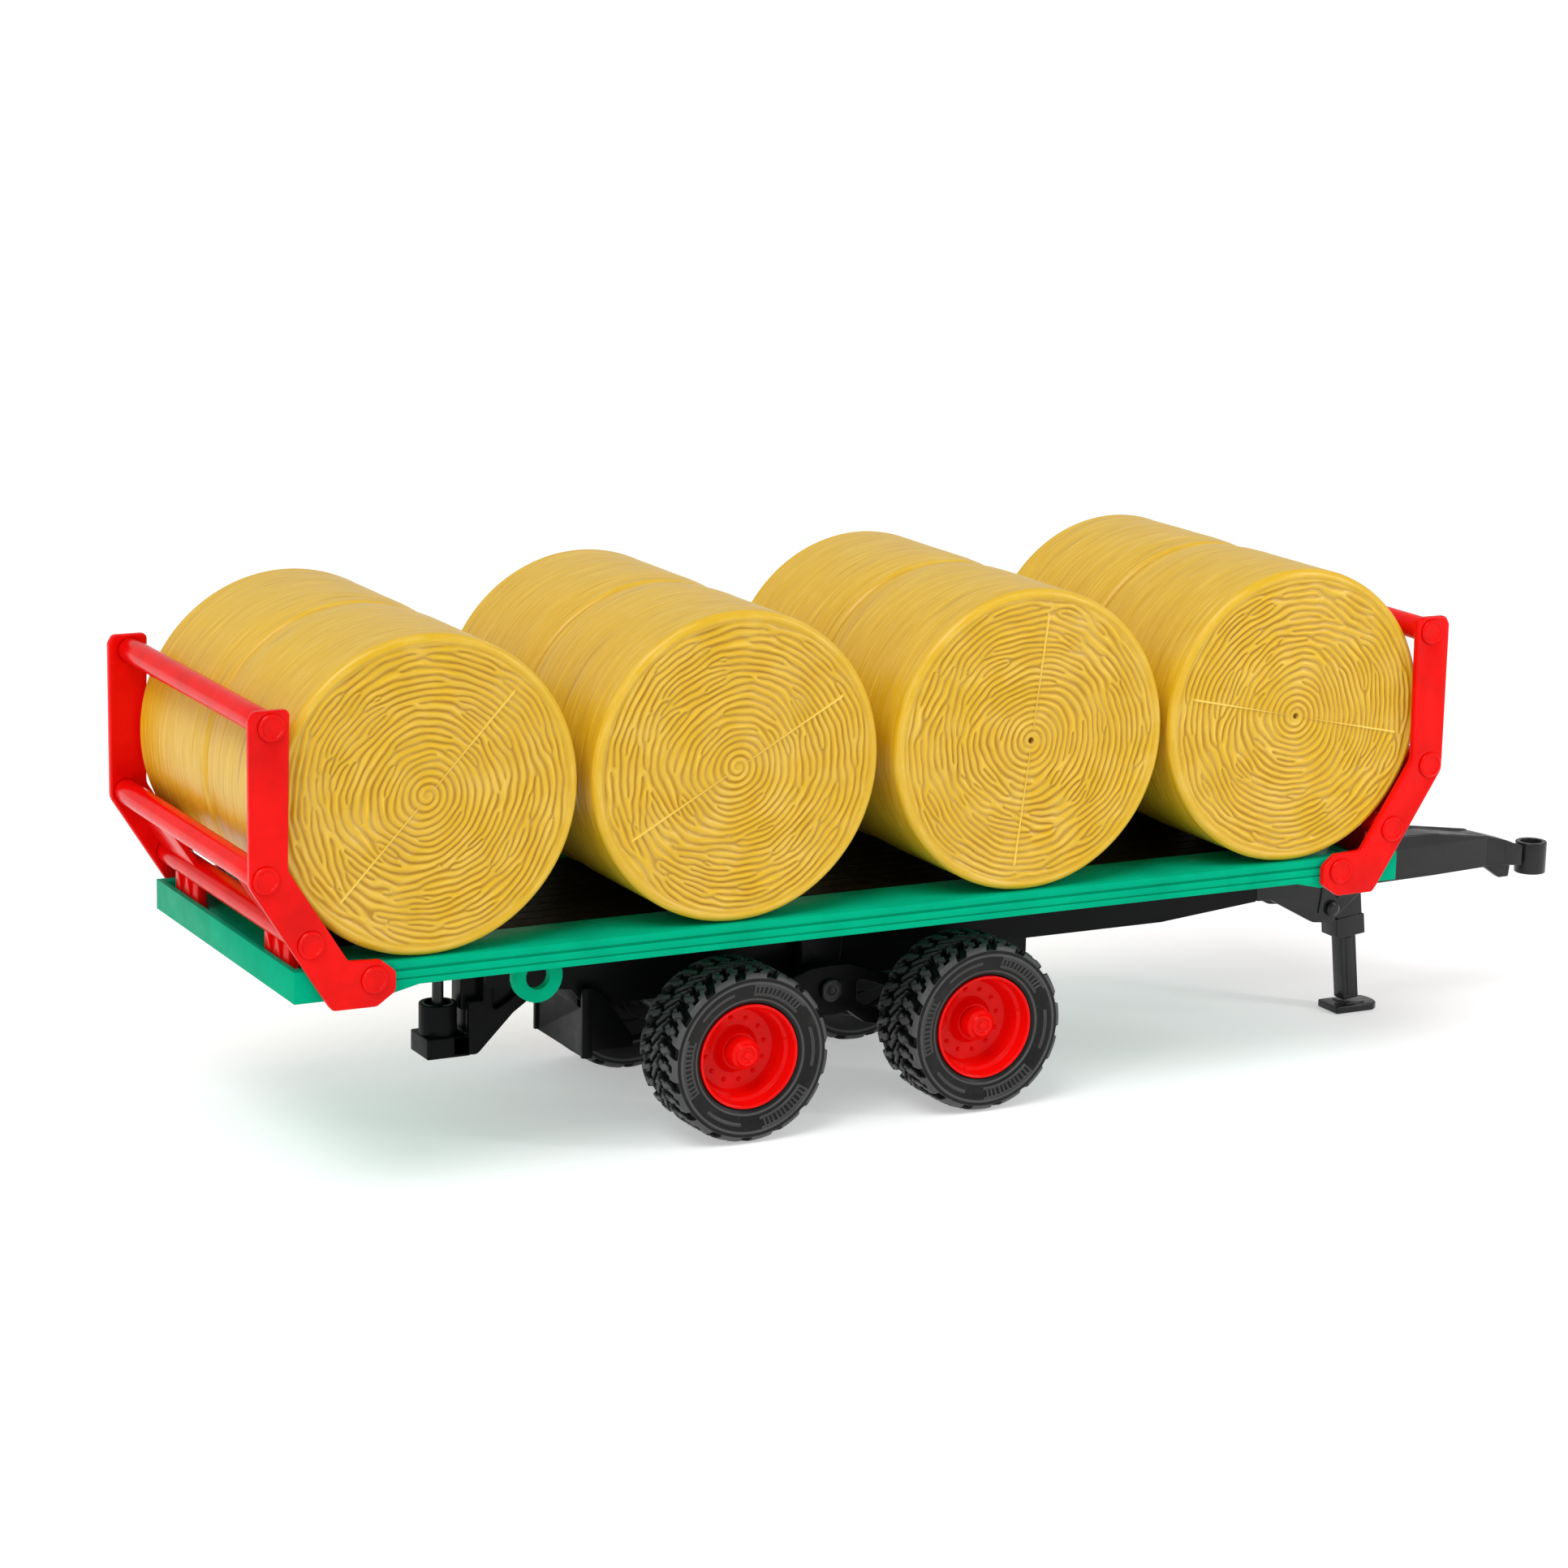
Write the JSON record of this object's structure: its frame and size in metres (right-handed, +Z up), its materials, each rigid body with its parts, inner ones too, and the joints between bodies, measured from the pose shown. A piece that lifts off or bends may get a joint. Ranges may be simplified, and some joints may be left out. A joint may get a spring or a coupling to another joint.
{
  "type": "toy bale trailer",
  "caption": "Toy tandem-axle flatbed trailer with gated deck, rocking bogie, folding jack, tow eye and round bales that lift off.",
  "frame": {"origin": "on the ground under the middle of the trailer's bounding box", "axes": "+X towards the drawbar eye, +Y to the trailer's left, +Z up"},
  "size_m": [0.6718, 0.17, 0.2234],
  "materials": {
    "green_plastic": "satin moulded green plastic",
    "red_plastic": "glossy moulded red plastic",
    "black_plastic": "fine-textured moulded black plastic",
    "tyre_rubber": "satin black soft plastic with moulded tread",
    "straw_plastic": "satin straw-yellow plastic with moulded straw ridges",
    "steel": "plain steel"
  },
  "bodies": {
    "chassis": {"deck_platform": "green_plastic", "deck_floor_panel": "black_plastic", "chassis_spine": "black_plastic", "deck_screw_rear": "steel", "deck_screw_front": "steel", "drawbar": "black_plastic", "drawbar_eye": "black_plastic", "jack_bracket": "black_plastic", "jack_pivot_pin": "black_plastic", "rear_hitch_bracket": "black_plastic", "rear_guard_plate": "black_plastic", "bogie_hanger_left": "black_plastic", "bogie_hanger_right": "black_plastic", "gate_front_arm_left": "red_plastic", "gate_front_arm_right": "red_plastic", "gate_front_bar_low": "red_plastic", "gate_front_bar_mid": "red_plastic", "gate_front_bar_top": "red_plastic", "gate_rear_arm_left": "red_plastic", "gate_rear_arm_right": "red_plastic", "gate_rear_bar_low": "red_plastic", "gate_rear_bar_mid": "red_plastic", "gate_rear_bar_top": "red_plastic"},
    "jack": {"jack_housing": "black_plastic"},
    "jack_foot": {"jack_leg": "black_plastic"},
    "hitch_pin": {"rear_hitch_pin": "black_plastic"},
    "bogie": {"bogie_pivot_pin_left": "black_plastic", "bogie_pivot_pin_right": "black_plastic", "bogie_frame": "black_plastic", "axle_front": "steel", "axle_rear": "steel"},
    "wheel_front_left": {"tyre_front_left": "tyre_rubber", "rim_front_left": "red_plastic", "hub_cap_front_left": "red_plastic", "brake_drum_front_left": "black_plastic"},
    "wheel_front_right": {"tyre_front_right": "tyre_rubber", "rim_front_right": "red_plastic", "hub_cap_front_right": "red_plastic", "brake_drum_front_right": "black_plastic"},
    "wheel_rear_left": {"tyre_rear_left": "tyre_rubber", "rim_rear_left": "red_plastic", "hub_cap_rear_left": "red_plastic", "brake_drum_rear_left": "black_plastic"},
    "wheel_rear_right": {"tyre_rear_right": "tyre_rubber", "rim_rear_right": "red_plastic", "hub_cap_rear_right": "red_plastic", "brake_drum_rear_right": "black_plastic"},
    "bale_1_left": {"bale_1_left": "straw_plastic"},
    "bale_1_right": {"bale_1_right": "straw_plastic"},
    "bale_2_left": {"bale_2_left": "straw_plastic"},
    "bale_2_right": {"bale_2_right": "straw_plastic"},
    "bale_3_left": {"bale_3_left": "straw_plastic"},
    "bale_3_right": {"bale_3_right": "straw_plastic"},
    "bale_4_left": {"bale_4_left": "straw_plastic"},
    "bale_4_right": {"bale_4_right": "straw_plastic"}
  },
  "joints": [
    {"name": "bogie_rock", "type": "hinge", "parent": "chassis", "child": "bogie", "pos_m": [-0.06143, 0, 0.05], "axis": [0, 1, 0], "range_deg": [-8, 8]},
    {"name": "wheel_front_left_spin", "type": "hinge", "parent": "bogie", "child": "wheel_front_left", "pos_m": [-0.00613, 0.057, 0.03648], "axis": [0, 1, 0], "continuous": true},
    {"name": "wheel_front_right_spin", "type": "hinge", "parent": "bogie", "child": "wheel_front_right", "pos_m": [-0.00613, -0.057, 0.03648], "axis": [0, 1, 0], "continuous": true},
    {"name": "wheel_rear_left_spin", "type": "hinge", "parent": "bogie", "child": "wheel_rear_left", "pos_m": [-0.11673, 0.057, 0.03648], "axis": [0, 1, 0], "continuous": true},
    {"name": "wheel_rear_right_spin", "type": "hinge", "parent": "bogie", "child": "wheel_rear_right", "pos_m": [-0.11673, -0.057, 0.03648], "axis": [0, 1, 0], "continuous": true},
    {"name": "jack_fold", "type": "hinge", "parent": "chassis", "child": "jack", "pos_m": [0.20347, 0, 0.0547], "axis": [0, 1, 0], "range_deg": [0, 90]},
    {"name": "jack_slide", "type": "slide", "parent": "jack", "child": "jack_foot", "axis": [-0.1045, 0, 0.9945], "range_m": [0, 0.013]},
    {"name": "hitch_pin_lift", "type": "slide", "parent": "chassis", "child": "hitch_pin", "axis": [0, 0, 1], "range_m": [0, 0.012]},
    {"name": "bale_1_left_lift", "type": "slide", "parent": "chassis", "child": "bale_1_left", "axis": [0.1483, 0, 0.9889], "range_m": [0, 0.15]},
    {"name": "bale_1_right_lift", "type": "slide", "parent": "chassis", "child": "bale_1_right", "axis": [0.1483, 0, 0.9889], "range_m": [0, 0.15]},
    {"name": "bale_2_left_lift", "type": "slide", "parent": "chassis", "child": "bale_2_left", "axis": [0, 0, 1], "range_m": [0, 0.3]},
    {"name": "bale_2_right_lift", "type": "slide", "parent": "chassis", "child": "bale_2_right", "axis": [0, 0, 1], "range_m": [0, 0.3]},
    {"name": "bale_3_left_lift", "type": "slide", "parent": "chassis", "child": "bale_3_left", "axis": [0, 0, 1], "range_m": [0, 0.3]},
    {"name": "bale_3_right_lift", "type": "slide", "parent": "chassis", "child": "bale_3_right", "axis": [0, 0, 1], "range_m": [0, 0.3]},
    {"name": "bale_4_left_lift", "type": "slide", "parent": "chassis", "child": "bale_4_left", "axis": [-0.1483, 0, 0.9889], "range_m": [0, 0.15]},
    {"name": "bale_4_right_lift", "type": "slide", "parent": "chassis", "child": "bale_4_right", "axis": [-0.1483, 0, 0.9889], "range_m": [0, 0.15]}
  ]
}
